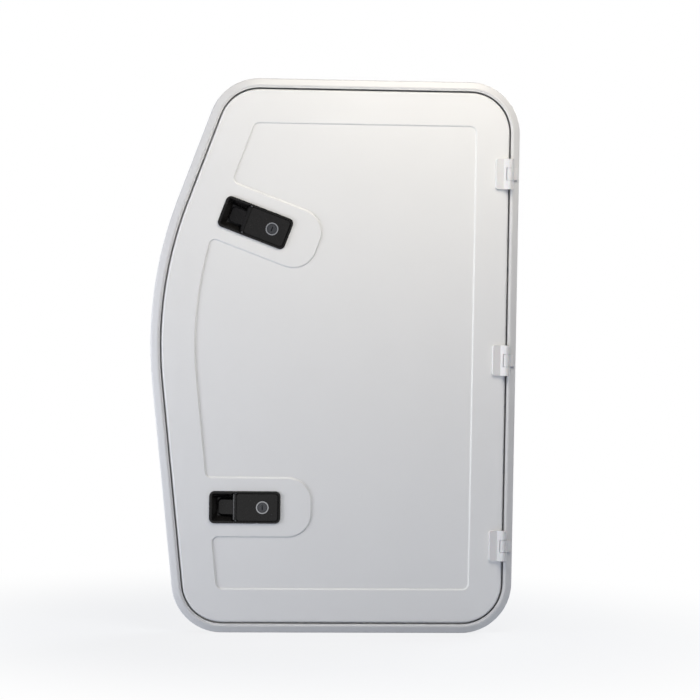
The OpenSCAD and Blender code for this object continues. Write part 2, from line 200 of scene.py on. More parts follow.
# A screw's head: sides, the share of its height that its round edge takes, and that
# edge's steps and shape
HEAD_SIDES = 32
HEAD_ROLL = 0.7
ROLL_STEPS = 5
ROLL_PROFILE = 0.55
# Its neck's length, and its thread's width over its root
NECK = 0.8 * MM
THREAD_CREST = 1.22
# One turn of the thread: rise, crest, fall and root, as shares of the pitch with what the
# width is multiplied by
THREAD_TURN = ((0.25, THREAD_CREST), (0.15, 1), (0.25, 1 / THREAD_CREST), (0.35, 1))
# The point's two tapers, as shares of the thread's width with what the width is multiplied by
POINT = ((0.6, 0.55), (0.4, 0.15))
# A blade of the cross recess: length and width over the head's width, height over its
# height, and how its lower end narrows
BLADE = (0.52, 0.12, 1.1)
BLADE_TAPER = (0.45, 0.7, 1)


def make_screw(name, head_d, head_h, thread_d, shank_l, pitch):
    """A pan-head self-tapping screw at the origin, its head on +Z and its thread below."""
    bpy.ops.object.select_all(action="DESELECT")
    bpy.ops.mesh.primitive_cylinder_add(
        vertices=HEAD_SIDES, radius=head_d / 2, depth=head_h, location=(0, 0, head_h / 2)
    )
    screw = bpy.context.object
    screw.name = name
    bpy.ops.object.transform_apply(location=True)
    # The head's upper edge is rolled over in a soft curve.
    pick_faces(screw, lambda c, n: n.z > FACING)
    bpy.ops.mesh.bevel(offset=head_h * HEAD_ROLL, segments=ROLL_STEPS, profile=ROLL_PROFILE)
    # The shank: a neck, then the thread turn by turn, then the point.
    pick_faces(screw, lambda c, n: n.z < -FACING)
    bpy.ops.mesh.inset(thickness=(head_d - thread_d / THREAD_CREST) / 2)
    grow(NECK, 1)
    turns = round((shank_l - NECK - thread_d) / pitch)
    for share, ratio in THREAD_TURN * turns:
        grow(pitch * share, ratio)
    for share, ratio in POINT:
        grow(thread_d * share, ratio)
    bpy.ops.object.mode_set(mode="OBJECT")
    # The cross recess is cut by two tapered blades.
    bpy.ops.object.select_all(action="DESELECT")
    bpy.ops.mesh.primitive_cube_add(size=1, location=(0, 0, head_h))
    blade = bpy.context.object
    blade.dimensions = (head_d * BLADE[0], head_d * BLADE[1], head_h * BLADE[2])
    bpy.ops.object.transform_apply(location=True, scale=True)
    pick_faces(blade, lambda c, n: n.z < -FACING)
    bpy.ops.transform.resize(value=BLADE_TAPER)
    bpy.ops.object.mode_set(mode="OBJECT")
    only(blade)
    bpy.ops.object.duplicate()
    second = bpy.context.object
    bpy.ops.transform.rotate(value=math.pi / 2, orient_axis="Z", center_override=(0, 0, 0))
    bpy.ops.object.transform_apply(rotation=True)
    for cutter in (blade, second):
        only(screw)
        cut = screw.modifiers.new("recess", "BOOLEAN")
        cut.operation = "DIFFERENCE"
        cut.solver = "EXACT"
        cut.object = cutter
        bpy.ops.object.modifier_apply(modifier=cut.name)
        bpy.data.objects.remove(cutter)
    return screw


def copies_at(screw, places):
    """Copy a screw to each (point, facing) and join the copies into one piece."""
    made = []
    for point, facing in places:
        only(screw)
        bpy.ops.object.duplicate()
        each = bpy.context.object
        turned = Vector((0, 0, 1)).rotation_difference(Vector(facing)).to_matrix().to_4x4()
        each.matrix_world = Matrix.Translation(Vector(point)) @ turned
        bpy.ops.object.transform_apply(location=True, rotation=True)
        made.append(each)
    name = screw.name
    bpy.data.objects.remove(screw)
    only(*made)
    bpy.ops.object.join()
    piece = bpy.context.object
    piece.name = name
    piece.data.name = name
    return piece


# Points of a CAD mesh nearer than this are one.
MERGE = 0.05 * MM
# A wall's faces have less of their normal along y than this.
WALL_TILT = 0.3
# Neighbours that turn by less than this are one face.
FLAT_ANGLE = math.radians(0.3)


def gap_wall(name, node, facing, depth):
    """The front band of a node's wall, as deep as asked.

    Facing is 1 for the wall that faces outward from the node's middle and -1 for the other.
    """
    piece = bpy.data.objects.new(name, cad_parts[node].data.copy())
    piece.data.name = name
    bpy.context.scene.collection.objects.link(piece)
    low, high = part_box(node)
    middle = (low + high) / 2
    only(piece)
    bpy.ops.object.mode_set(mode="EDIT")
    bpy.ops.mesh.select_all(action="SELECT")
    bpy.ops.mesh.remove_doubles(threshold=MERGE)
    bpy.ops.object.mode_set(mode="OBJECT")
    pick_faces(piece, lambda c, n: abs(n.y) > WALL_TILT or facing * n.dot(c - middle) < 0)
    bpy.ops.mesh.delete(type="FACE")
    bpy.ops.mesh.select_all(action="SELECT")
    bpy.ops.mesh.bisect(plane_co=(0, low.y + depth, 0), plane_no=(0, 1, 0), clear_outer=True)
    bpy.ops.mesh.select_all(action="SELECT")
    bpy.ops.mesh.dissolve_limited(angle_limit=FLAT_ANGLE)
    bpy.ops.object.mode_set(mode="OBJECT")
    return piece


def apply_new(piece, name, kind, **settings):
    """Add a modifier with its settings and apply it."""
    only(piece)
    made = piece.modifiers.new(name, kind)
    for key, value in settings.items():
        setattr(made, key, value)
    bpy.ops.object.modifier_apply(modifier=made.name)


# What a user would change


class DoorColours(bpy.types.PropertyGroup):
    coat: colour("d7d7d5", "Frame", "Powder coat on the aluminium frame")
    sheet: colour("e9e9e6", "Leaf", "Gel coat on the pressed outer sheet")
    lining: colour("e8e8e4", "Lining", "Vinyl face on the inner sheet")
    hinge: colour("dddcda", "Hinges", "Moulded hinge plastic")
    rubber: colour("dcdcda", "Seals", "Extruded seal rubber")
    plastic: colour("171615", "Locks", "Moulded lock plastic")
    # The collar and cylinder colours are painted light: the lighter collar is a painted highlight,
    # and the dark face is a painted reflection of a dark room.
    collar: colour("a6a7a9", "Collar", "Nickel plate on the key cylinder's collar")
    cylinder: colour("4c4d50", "Cylinder", "Satin nickel plate on the key cylinder's face")
    # The plug colour is darkened as a painted reflection of a dark room.
    plug: colour("535457", "Plug", "Satin nickel plate on the key plug")
    steel: colour("b9bcc0", "Steel", "Zinc plate on pins, arms and screws")
    foam: colour("e6dcc0", "Foam", "Rigid foam between the sheets")


class DoorScrews(bpy.types.PropertyGroup):
    head_d: length(7.6 * MM, "Head", "Diameter of a frame screw's head")
    head_h: length(2.3 * MM, "Head height", "Height of a frame screw's head")
    thread_d: length(4 * MM, "Thread", "Outer diameter of a frame screw's thread")
    shank_l: length(11.4 * MM, "Length", "Length of a frame screw below its head")
    pitch: length(1.32 * MM, "Pitch", "Pitch of a frame screw's thread")
    clamp_head_d: length(5.6 * MM, "Clamp head", "Diameter of a clamp screw's head")
    clamp_head_h: length(1.8 * MM, "Clamp head height", "Height of a clamp screw's head")
    clamp_thread_d: length(2.4 * MM, "Clamp thread", "Outer diameter of a clamp screw's thread")
    clamp_shank_l: length(9 * MM, "Clamp length", "Length of a clamp screw below its head")
    clamp_pitch: length(1.1 * MM, "Clamp pitch", "Pitch of a clamp screw's thread")


class DoorLips(bpy.types.PropertyGroup):
    reach: length(1.2 * MM, "Reach", "Reach of a lip into the gap")
    root: length(0.6 * MM, "Root", "Depth of a lip's root in the piece that holds it")
    thick: length(1.6 * MM, "Thickness", "Thickness of a lip")
    level: length(5.2 * MM, "Level", "Height of a lip's face above the wall")


class DoorStage(bpy.types.PropertyGroup):
    key_power: watts(10, "Key", "Power of the high lamp in front")
    side_power: watts(14.5, "Side", "Power of the low lamp at the left")
    back_power: watts(36, "Back", "Power of the lamp behind the door")
    sky: FloatProperty(name="Sky", description="Strength of the soft light all round", default=0.1)
    floor_gap: length(0.5 * MM, "Floor gap", "Gap between the frame and the floor")
    lens: FloatProperty(name="Lens", description="Focal length in millimetres", default=172.78)


# Finishes


def coated_aluminium(name, base):
    """Powder-coated aluminium: an even satin white with a very fine orange peel."""
    made, tree, shader, place = new_finish(
        name, base, roughness=0.36, Coat_Weight=0.15, Coat_Roughness=0.25
    )
    # The coat's tone and gloss drift over some 45 mm.
    cloud = add(tree, "ShaderNodeTexNoise", {"Vector": place, "Scale": per_metre(45), "Detail": 3})
    tone = add(
        tree,
        "ShaderNodeMix",
        {"Factor": cloud.outputs["Fac"], "A": tint(base, 0.975), "B": tint(base, 1.02)},
        data_type="RGBA",
    )
    gloss = add(
        tree,
        "ShaderNodeMapRange",
        {"Value": cloud.outputs["Fac"], "To Min": 0.28, "To Max": 0.44},
    )
    # Orange peel is about 1 mm from crest to crest.
    peel = add(tree, "ShaderNodeTexNoise", {"Vector": place, "Scale": per_metre(1.0), "Detail": 1})
    bump = add(tree, "ShaderNodeBump", {"Height": peel.outputs["Fac"], "Distance": 0.012 * MM})
    tree.links.new(tone.outputs["Result"], shader.inputs["Base Color"])
    tree.links.new(gloss.outputs["Result"], shader.inputs["Roughness"])
    tree.links.new(bump.outputs["Normal"], shader.inputs["Normal"])
    return made


def gel_coated_sheet(name, base):
    """Gel-coated glass-fibre sheet: glossy, and a little wavy where the mat prints through."""
    made, tree, shader, place = new_finish(
        name, base, roughness=0.3, Coat_Weight=0.25, Coat_Roughness=0.15
    )
    # The gel coat's tone and gloss drift over some 90 mm.
    cloud = add(tree, "ShaderNodeTexNoise", {"Vector": place, "Scale": per_metre(90), "Detail": 2})
    tone = add(
        tree,
        "ShaderNodeMix",
        {"Factor": cloud.outputs["Fac"], "A": tint(base, 0.985), "B": tint(base, 1.012)},
        data_type="RGBA",
    )
    gloss = add(
        tree,
        "ShaderNodeMapRange",
        {"Value": cloud.outputs["Fac"], "To Min": 0.26, "To Max": 0.36},
    )
    # Waves of the sheet are some 80 mm long, and the print of the mat about 6 mm.
    wave = add(tree, "ShaderNodeTexNoise", {"Vector": place, "Scale": per_metre(80), "Detail": 0})
    mat = add(tree, "ShaderNodeTexNoise", {"Vector": place, "Scale": per_metre(6), "Detail": 2})
    under = add(tree, "ShaderNodeBump", {"Height": wave.outputs["Fac"], "Distance": 0.05 * MM})
    bump = add(
        tree,
        "ShaderNodeBump",
        {"Height": mat.outputs["Fac"], "Distance": 0.006 * MM, "Normal": under.outputs["Normal"]},
    )
    tree.links.new(tone.outputs["Result"], shader.inputs["Base Color"])
    tree.links.new(gloss.outputs["Result"], shader.inputs["Roughness"])
    tree.links.new(bump.outputs["Normal"], shader.inputs["Normal"])
    return made


def embossed_vinyl(name, base):
    """Vinyl-faced board: a soft white with an embossed leathery pebble."""
    made, tree, shader, place = new_finish(name, base, roughness=0.5)
    # The print's tone drifts over some 30 mm.
    cloud = add(tree, "ShaderNodeTexNoise", {"Vector": place, "Scale": per_metre(30), "Detail": 3})
    tone = add(
        tree,
        "ShaderNodeMix",
        {"Factor": cloud.outputs["Fac"], "A": tint(base, 0.96), "B": tint(base, 1.01)},
        data_type="RGBA",
    )
    # The pebble is 2.6 mm wide.
    pebble = add(tree, "ShaderNodeTexVoronoi", {"Vector": place, "Scale": per_metre(2.6)})
    bump = add(
        tree,
        "ShaderNodeBump",
        {"Height": pebble.outputs["Distance"], "Distance": 0.12 * MM, "Strength": 0.6},
    )
    tree.links.new(tone.outputs["Result"], shader.inputs["Base Color"])
    tree.links.new(bump.outputs["Normal"], shader.inputs["Normal"])
    return made


def moulded_acetal(name, base):
    """Moulded acetal: a milky white, smooth with a slight sheen."""
    made, tree, shader, place = new_finish(
        name, base, roughness=0.34, Subsurface_Weight=0.08, Subsurface_Scale=1.5 * MM
    )
    # Flow clouds are about 9 mm wide, and the moulded skin's ripple 0.8 mm.
    cloud = add(tree, "ShaderNodeTexNoise", {"Vector": place, "Scale": per_metre(9)})
    tone = add(
        tree,
        "ShaderNodeMix",
        {"Factor": cloud.outputs["Fac"], "A": tint(base, 0.985), "B": tint(base, 1.01)},
        data_type="RGBA",
    )
    gloss = add(
        tree,
        "ShaderNodeMapRange",
        {"Value": cloud.outputs["Fac"], "To Min": 0.28, "To Max": 0.42},
    )
    skin = add(tree, "ShaderNodeTexNoise", {"Vector": place, "Scale": per_metre(0.8), "Detail": 1})
    bump = add(tree, "ShaderNodeBump", {"Height": skin.outputs["Fac"], "Distance": 0.006 * MM})
    tree.links.new(tone.outputs["Result"], shader.inputs["Base Color"])
    tree.links.new(gloss.outputs["Result"], shader.inputs["Roughness"])
    tree.links.new(bump.outputs["Normal"], shader.inputs["Normal"])
    return made


def moulded_abs(name, base):
    """Black ABS, polished, with a very fine grain that dulls its gloss a little."""
    made, tree, shader, place = new_finish(name, base, roughness=0.25, Specular_IOR_Level=0.3)
    # Flow clouds are about 8 mm wide.
    cloud = add(tree, "ShaderNodeTexNoise", {"Vector": place, "Scale": per_metre(8), "Detail": 3})
    tone = add(
        tree,
        "ShaderNodeMix",
        {"Factor": cloud.outputs["Fac"], "A": tint(base, 0.85), "B": tint(base, 1.15)},
        data_type="RGBA",
    )
    gloss = add(
        tree,
        "ShaderNodeMapRange",
        {"Value": cloud.outputs["Fac"], "To Min": 0.18, "To Max": 0.32},
    )
    # The real grain is 0.1 mm and is drawn at 0.35 mm so that it shows at all.
    grain = add(tree, "ShaderNodeTexNoise", {"Vector": place, "Scale": per_metre(0.35)})
    bump = add(tree, "ShaderNodeBump", {"Height": grain.outputs["Fac"], "Distance": 0.006 * MM})
    tree.links.new(tone.outputs["Result"], shader.inputs["Base Color"])
    tree.links.new(gloss.outputs["Result"], shader.inputs["Roughness"])
    tree.links.new(bump.outputs["Normal"], shader.inputs["Normal"])
    return made


def seal_rubber(name, base):
    """Extruded EPDM rubber: matt light grey, clouded by a trace of bloom."""
    made, tree, shader, place = new_finish(name, base, roughness=0.72, Specular_IOR_Level=0.35)
    # Bloom lies in clouds about 14 mm wide, and the extruded skin's grain is 0.6 mm.
    bloom = add(
        tree,
        "ShaderNodeTexNoise",
        {"Vector": place, "Scale": per_metre(14), "Detail": 4, "Roughness": 0.6},
    )
    tone = add(
        tree,
        "ShaderNodeMix",
        {"Factor": bloom.outputs["Fac"], "A": tint(base, 0.9), "B": tint(base, 1.12)},
        data_type="RGBA",
    )
    skin = add(tree, "ShaderNodeTexNoise", {"Vector": place, "Scale": per_metre(0.6)})
    bump = add(tree, "ShaderNodeBump", {"Height": skin.outputs["Fac"], "Distance": 0.02 * MM})
    tree.links.new(tone.outputs["Result"], shader.inputs["Base Color"])
    tree.links.new(bump.outputs["Normal"], shader.inputs["Normal"])
    return made


def satin_nickel_plate(name, base):
    """Satin nickel plate on turned metal: a soft grey sheen, with faint polishing marks."""
    made, tree, shader, place = new_finish(name, base, roughness=0.28, Metallic=1.0)
    # Polishing marks lie about 3 mm apart, with a fine grain of 0.5 mm.
    marks = add(
        tree,
        "ShaderNodeTexNoise",
        {"Vector": place, "Scale": per_metre(3), "Detail": 4, "Roughness": 0.7},
    )
    gloss = add(
        tree,
        "ShaderNodeMapRange",
        {"Value": marks.outputs["Fac"], "To Min": 0.2, "To Max": 0.36},
    )
    fine = add(tree, "ShaderNodeTexNoise", {"Vector": place, "Scale": per_metre(0.5)})
    bump = add(tree, "ShaderNodeBump", {"Height": fine.outputs["Fac"], "Distance": 0.002 * MM})
    tree.links.new(gloss.outputs["Result"], shader.inputs["Roughness"])
    tree.links.new(bump.outputs["Normal"], shader.inputs["Normal"])
    return made


# A painted highlight lies on the lighter collar, the outer 1.6 mm of a face 19 mm across, and
# starts between these radii.
PAINTED_HIGHLIGHT_FROM = 7.6 * MM
PAINTED_HIGHLIGHT_FULL = 8.2 * MM


def nickel_with_painted_reflection(name, face, collar, middle):
    """Nickel plate on a key cylinder, with painted light: a lighter narrow collar as a painted
    highlight, round a face darkened as a painted reflection of a dark room.
    """
    made, tree, shader, place = new_finish(name, collar, roughness=0.22, Metallic=1.0)
    # Distance from the cylinder's axis, which runs along y through its middle.
    flat = add(
        tree,
        "ShaderNodeMapping",
        {"Vector": place, "Location": (-middle.x, 0, -middle.z), "Scale": (1, 0, 1)},
    )
    radius = add(tree, "ShaderNodeVectorMath", {0: flat.outputs["Vector"]}, operation="LENGTH")
    share = add(
        tree,
        "ShaderNodeMapRange",
        {"Value": radius.outputs["Value"], "From Min": PAINTED_HIGHLIGHT_FROM, "From Max": PAINTED_HIGHLIGHT_FULL},
    )
    # Painted light: the face's dark tone stands for a reflection of a dark room, and the collar's
    # light tone for a highlight.
    tone = add(
        tree,
        "ShaderNodeMix",
        {"Factor": share.outputs["Result"], "A": (*face, 1), "B": (*collar, 1)},
        data_type="RGBA",
    )
    # Polishing marks lie about 3 mm apart, with a fine grain of 0.5 mm.
    marks = add(tree, "ShaderNodeTexNoise", {"Vector": place, "Scale": per_metre(3), "Detail": 4})
    gloss = add(
        tree,
        "ShaderNodeMapRange",
        {"Value": marks.outputs["Fac"], "To Min": 0.16, "To Max": 0.3},
    )
    fine = add(tree, "ShaderNodeTexNoise", {"Vector": place, "Scale": per_metre(0.5)})
    bump = add(tree, "ShaderNodeBump", {"Height": fine.outputs["Fac"], "Distance": 0.002 * MM})
    tree.links.new(tone.outputs["Result"], shader.inputs["Base Color"])
    tree.links.new(gloss.outputs["Result"], shader.inputs["Roughness"])
    tree.links.new(bump.outputs["Normal"], shader.inputs["Normal"])
    return made


def zinc_plate(name, base):
    """Zinc-plated steel: a dull grey metal with cloudy patches a few millimetres wide."""
    made, tree, shader, place = new_finish(name, base, roughness=0.36, Metallic=1.0)
    # The patches are about 5 mm wide, and the plating's grain is drawn at 0.5 mm.
    cloud = add(
        tree,
        "ShaderNodeTexNoise",
        {"Vector": place, "Scale": per_metre(5), "Detail": 4, "Roughness": 0.6},
    )
    tone = add(
        tree,
        "ShaderNodeMix",
        {"Factor": cloud.outputs["Fac"], "A": tint(base, 0.82), "B": tint(base, 1.12)},
        data_type="RGBA",
    )
    gloss = add(
        tree,
        "ShaderNodeMapRange",
        {"Value": cloud.outputs["Fac"], "To Min": 0.24, "To Max": 0.5},
    )
    fine = add(tree, "ShaderNodeTexNoise", {"Vector": place, "Scale": per_metre(0.5)})
    bump = add(tree, "ShaderNodeBump", {"Height": fine.outputs["Fac"], "Distance": 0.004 * MM})
    tree.links.new(tone.outputs["Result"], shader.inputs["Base Color"])
    tree.links.new(gloss.outputs["Result"], shader.inputs["Roughness"])
    tree.links.new(bump.outputs["Normal"], shader.inputs["Normal"])
    return made


def rigid_foam(name, base):
    """Rigid foam: a matt cream with cut cells about 1 mm wide."""
    made, tree, shader, place = new_finish(name, base, roughness=0.9)
    cells = add(tree, "ShaderNodeTexVoronoi", {"Vector": place, "Scale": per_metre(1.0)})
    tone = add(
        tree,
        "ShaderNodeMix",
        {"Factor": cells.outputs["Distance"], "A": tint(base, 0.8), "B": tint(base, 1.0)},
        data_type="RGBA",
    )
    bump = add(tree, "ShaderNodeBump", {"Height": cells.outputs["Distance"], "Distance": 0.2 * MM})
    tree.links.new(tone.outputs["Result"], shader.inputs["Base Color"])
    tree.links.new(bump.outputs["Normal"], shader.inputs["Normal"])
    return made


# Operators


class DOOR_OT_frame_finish(bpy.types.Operator):
    """Coat the frame"""

    bl_idname = "door.frame_finish"
    bl_label = "Coat the Frame"

    def execute(self, context):
        colours = context.scene.door_colours
        dress(["frame"], coated_aluminium("powder_coated_aluminium", colours.coat))
        return {"FINISHED"}


class DOOR_OT_leaf_finish(bpy.types.Operator):
    """Finish the leaf's two sheets, its edge strip and its foam"""

    bl_idname = "door.leaf_finish"
    bl_label = "Finish the Leaf"

    def execute(self, context):
        colours = context.scene.door_colours
        dress(["leaf_skin", "leaf_edge"], gel_coated_sheet("gel_coated_sheet", colours.sheet))
        dress(["leaf_liner"], embossed_vinyl("embossed_vinyl", colours.lining))
        dress(["leaf_core"], rigid_foam("rigid_foam", colours.foam))
        return {"FINISHED"}


class DOOR_OT_seal_finish(bpy.types.Operator):
    """Finish the seals"""

    bl_idname = "door.seal_finish"
    bl_label = "Finish the Seals"

    def execute(self, context):
        rubber = seal_rubber("epdm_rubber", context.scene.door_colours.rubber)
        dress(["reveal_seal", "stop_seal"], rubber)
        return {"FINISHED"}


class DOOR_OT_hinge_finish(bpy.types.Operator):
    """Finish the three hinges"""

    bl_idname = "door.hinge_finish"
    bl_label = "Finish the Hinges"

    def execute(self, context):
        colours = context.scene.door_colours
        acetal = moulded_acetal("moulded_acetal", colours.hinge)
        dress(all_hinges("leaf") + all_hinges("bracket"), acetal)
        dress(all_hinges("pin"), zinc_plate("zinc_plated_pin", colours.steel))
        return {"FINISHED"}


class DOOR_OT_lock_finish(bpy.types.Operator):
    """Finish the two locks"""

    bl_idname = "door.lock_finish"
    bl_label = "Finish the Locks"

    def execute(self, context):
        colours = context.scene.door_colours
        black = moulded_abs("moulded_abs", colours.plastic)
        dress(both("lock_housing") + both("lock_clamp") + both("paddle"), black)
        # Each cylinder gets a painted highlight on its collar and a painted reflection that
        # darkens its face.
        for name in both("cylinder"):
            low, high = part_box(name)
            middle = (low + high) / 2
            nickel = nickel_with_painted_reflection("nickel_" + name, colours.cylinder, colours.collar, middle)
            dress([name], nickel)
        # The plugs' dark nickel is a painted reflection of a dark room.
        dress(both("key_plug"), satin_nickel_plate("satin_nickel_plug_painted_reflection", colours.plug))
        steel = zinc_plate("zinc_plated_steel", colours.steel)
        dress(both("latch_arm") + both("paddle_pin"), steel)
        return {"FINISHED"}


# A lip's tip is rounded over this share of its thickness, in these steps, at edges
# sharper than the angle.
TIP_ROUND = 0.4
TIP_STEPS = 3
TIP_EDGE = math.radians(50)


class DOOR_OT_gap_lips(bpy.types.Operator):
    """Line both sides of the gap round the leaf with a soft lip"""

    bl_idname = "door.gap_lips"
    bl_label = "Line the Gap"

    def execute(self, context):
        sizes = context.scene.door_lips
        soft = seal_rubber("soft_lip_rubber", context.scene.door_colours.rubber)
        whole = sizes.reach + sizes.root
        for name, node, facing, body in (
            ("frame_lip", "reveal_seal", -1, "frame"),
            ("leaf_lip", "leaf_edge", 1, "door"),
        ):
            lip = gap_wall(name, node, facing, sizes.thick)
            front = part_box(node)[0].y
            lip.location.y = -sizes.level - front
            # Solidify spreads the wall from its root in the holder to its tip in the gap.
            apply_new(
                lip,
                "reach",
                "SOLIDIFY",
                thickness=whole,
                offset=1 - 2 * sizes.root / whole,
                use_even_offset=True,
            )
            apply_new(
                lip,
                "round_tip",
                "BEVEL",
                width=TIP_ROUND * sizes.thick,
                segments=TIP_STEPS,
                limit_method="ANGLE",
                angle_limit=TIP_EDGE,
            )
            settle(lip, soft, body)
        return {"FINISHED"}


# The fixing holes: how far behind the wall's outer face they lie, their heights from mid
# height at the hinge side, and their places along the top and the bottom
HOLE_LEVEL = 24 * MM
SIDE_HOLES = (-300 * MM, -140 * MM, 140 * MM, 300 * MM)
END_HOLES = (-60 * MM, 140 * MM)


class DOOR_OT_frame_screws(bpy.types.Operator):
    """Put a screw in each fixing hole of the reveal"""

    bl_idname = "door.frame_screws"
    bl_label = "Fit the Frame Screws"

    def execute(self, context):
        sizes = context.scene.door_screws
        low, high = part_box("reveal_seal")
        middle_z = (low.z + high.z) / 2
        places = [((high.x, HOLE_LEVEL, middle_z + z), (-1, 0, 0)) for z in SIDE_HOLES]
        for x in END_HOLES:
            places.append(((x, HOLE_LEVEL, high.z), (0, 0, -1)))
            places.append(((x, HOLE_LEVEL, low.z), (0, 0, 1)))
        screw = make_screw(
            "frame_screws",
            sizes.head_d,
            sizes.head_h,
            sizes.thread_d,
            sizes.shank_l,
            sizes.pitch,
        )
        piece = copies_at(screw, places)
        steel = zinc_plate("zinc_plated_screw", context.scene.door_colours.steel)
        settle(piece, steel, "frame")
        return {"FINISHED"}


# A clamp's screws from its middle, along the lock and across it
CLAMP_ALONG = 55 * MM
CLAMP_ACROSS = 14.4 * MM


class DOOR_OT_clamp_screws(bpy.types.Operator):
    """Put four screws in each lock's clamp"""

    bl_idname = "door.clamp_screws"
    bl_label = "Fit the Clamp Screws"

    def execute(self, context):
        sizes = context.scene.door_screws
        places = []
        for name in both("lock_clamp"):
            low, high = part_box(name)
            middle = (low + high) / 2
            slant = UPPER_SLANT if name.startswith("upper") else 0.0
            along = Vector((math.cos(slant), 0, -math.sin(slant)))
            across = Vector((math.sin(slant), 0, math.cos(slant)))
            for a, b in ((-1, 1), (-1, -1), (1, 1), (1, -1)):
                point = middle + along * (a * CLAMP_ALONG) + across * (b * CLAMP_ACROSS)
                point.y = high.y
                places.append((tuple(point), (0, 1, 0)))
        screw = make_screw(
            "clamp_screws",
            sizes.clamp_head_d,
            sizes.clamp_head_h,
            sizes.clamp_thread_d,
            sizes.clamp_shank_l,
            sizes.clamp_pitch,
        )
        piece = copies_at(screw, places)
        steel = zinc_plate("zinc_plated_small_screw", context.scene.door_colours.steel)
        settle(piece, steel, "door")
        return {"FINISHED"}


# The camera's place, and its aim in degrees, fitted to the line of the gap round the leaf
CAMERA_PLACE = Vector((-0.4817, -5.006, 0.67825))
CAMERA_YAW = 5.770
CAMERA_PITCH = 2.939
CAMERA_ROLL = 0.940
SENSOR_WIDTH = 36
CLIP_START = 0.1
CLIP_END = 200
# Each lamp's place, size and colour
KEY = ((0.22, -0.72, 1.25), 0.7, "fff9ee")
SIDE = ((-1.5, -0.55, 0.35), 0.6, "f6f8ff")
BACK = ((1.5, 1.4, 1.5), 1.4, "fffefc")
SKY_BLUE = "86a8ff"
FLOOR_SIZE = 60
FLOOR_PAINT = "c4cbd6"
FLOOR_DARK = "c2c9d4"
FLOOR_LIGHT = "c6cdd8"
# The floor's share of white by its distance from the door's foot
NEAR = 0.3
FAR = 0.9
NEAR_WHITE = 0.8
# How bright a reflection of the room in front of the door is, and how far round the
# backdrop fades into it
ROOM_LIGHT = 0.25
BACKDROP_EDGE = 0.3


def camera_axes():
    """The camera's right, up and forward directions."""
    yaw, pitch, roll = (math.radians(a) for a in (CAMERA_YAW, CAMERA_PITCH, CAMERA_ROLL))
    ahead = math.cos(pitch)
    forward = Vector((math.sin(yaw) * ahead, math.cos(yaw) * ahead, -math.sin(pitch)))
    right = Vector((math.cos(yaw), -math.sin(yaw), 0))
    up = right.cross(forward)
    rolled_right = math.cos(roll) * right + math.sin(roll) * up
    rolled_up = math.cos(roll) * up - math.sin(roll) * right
    return rolled_right, rolled_up, forward


def floor_finish():
    """Pale painted board: white to the camera, but for the door's shadow near its foot."""
    made, tree, shader, place = new_finish("pale_floor", linear(FLOOR_PAINT), roughness=0.85)
    # The paint's tone drifts over some 300 mm.
    cloud = add(tree, "ShaderNodeTexNoise", {"Vector": place, "Scale": per_metre(300)})
    dark, light = linear(FLOOR_DARK), linear(FLOOR_LIGHT)
    tone = add(
        tree,
        "ShaderNodeMix",
        {"Factor": cloud.outputs["Fac"], "A": (*dark, 1), "B": (*light, 1)},
        data_type="RGBA",
    )
    tree.links.new(tone.outputs["Result"], shader.inputs["Base Color"])
    path = add(tree, "ShaderNodeLightPath")
    seen = add(
        tree,
        "ShaderNodeMath",
        {0: path.outputs["Is Camera Ray"], 1: path.outputs["Is Glossy Ray"]},
        operation="MAXIMUM",
    )
    # Near the door the floor is partly its own lit paint, and further away it is all white.
    away = add(tree, "ShaderNodeVectorMath", {0: place}, operation="LENGTH")
    white_share = add(
        tree,
        "ShaderNodeMapRange",
        {
            "Value": away.outputs["Value"],
            "From Min": NEAR,
            "From Max": FAR,
            "To Min": NEAR_WHITE,
            "To Max": 1.0,
        },
        interpolation_type="SMOOTHSTEP",
    )
    share = add(
        tree,
        "ShaderNodeMath",
        {0: seen.outputs["Value"], 1: white_share.outputs["Result"]},
        operation="MULTIPLY",
    )
    white = add(tree, "ShaderNodeEmission", {"Color": (1, 1, 1, 1), "Strength": 1.0})
    mix = add(
        tree,
        "ShaderNodeMixShader",
        {0: share.outputs["Value"], 1: shader.outputs["BSDF"], 2: white.outputs["Emission"]},
    )
    tree.links.new(mix.outputs["Shader"], tree.nodes["Material Output"].inputs["Surface"])
    return made


